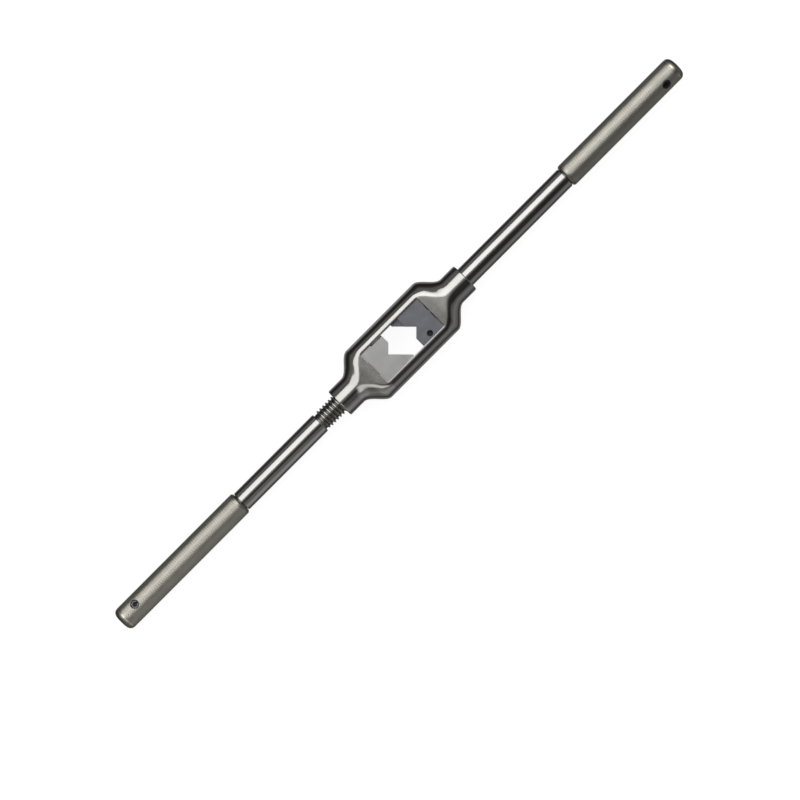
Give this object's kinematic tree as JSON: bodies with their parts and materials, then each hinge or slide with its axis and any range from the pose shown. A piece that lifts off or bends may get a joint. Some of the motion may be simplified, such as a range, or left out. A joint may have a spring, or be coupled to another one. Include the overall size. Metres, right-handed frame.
{
  "type": "tap wrench",
  "caption": "Straight adjustable tap wrench: a windowed frame with a fixed and a sliding V jaw, moved by a screw handle opposite a fixed handle.",
  "frame": {"origin": "on the plane of the frame's underside, below the middle of the tool's length on the handles' line", "axes": "+X along the handles towards the fixed handle, +Z along the tap, out of the frame's upper side, +Y to the side of the fixed jaw's long horn"},
  "size_m": [0.28, 0.0232, 0.014],
  "materials": {
    "forged_nickel": "polished nickel plate over a forging, slightly orange-peeled",
    "rod_nickel": "bright drawn bar, nickel plated",
    "knurled_steel": "satin, fine diamond knurl",
    "ground_steel": "ground and hardened",
    "blued_steel": "hardened, blue-grey heat colour",
    "pin_steel": "dark spring steel"
  },
  "bodies": {
    "frame_body": {"frame": "forged_nickel", "fixed_jaw": "blued_steel", "fixed_jaw_pin_upper": "pin_steel", "fixed_jaw_pin_lower": "pin_steel", "fixed_handle_rod": "rod_nickel", "fixed_handle_grip": "knurled_steel", "fixed_handle_grip_pin": "pin_steel"},
    "sliding_jaw_body": {"sliding_jaw": "ground_steel", "sliding_jaw_pin_upper": "pin_steel", "sliding_jaw_pin_lower": "pin_steel"},
    "adjusting_handle_body": {"adjusting_screw": "rod_nickel", "adjusting_grip": "knurled_steel", "adjusting_grip_pin": "pin_steel"}
  },
  "joints": [
    {"name": "jaw_slide", "type": "slide", "parent": "frame_body", "child": "sliding_jaw_body", "axis": [1, 0, 0], "range_m": [0, 0.008]},
    {"name": "handle_turn", "type": "hinge", "parent": "sliding_jaw_body", "child": "adjusting_handle_body", "pos_m": [-0.0301, 0, 0.007], "axis": [1, 0, 0], "range_deg": [0, 2042]}
  ],
  "couplings": [
    {"joint": "handle_turn", "follows": "jaw_slide", "rad_per_m": 4453}
  ]
}
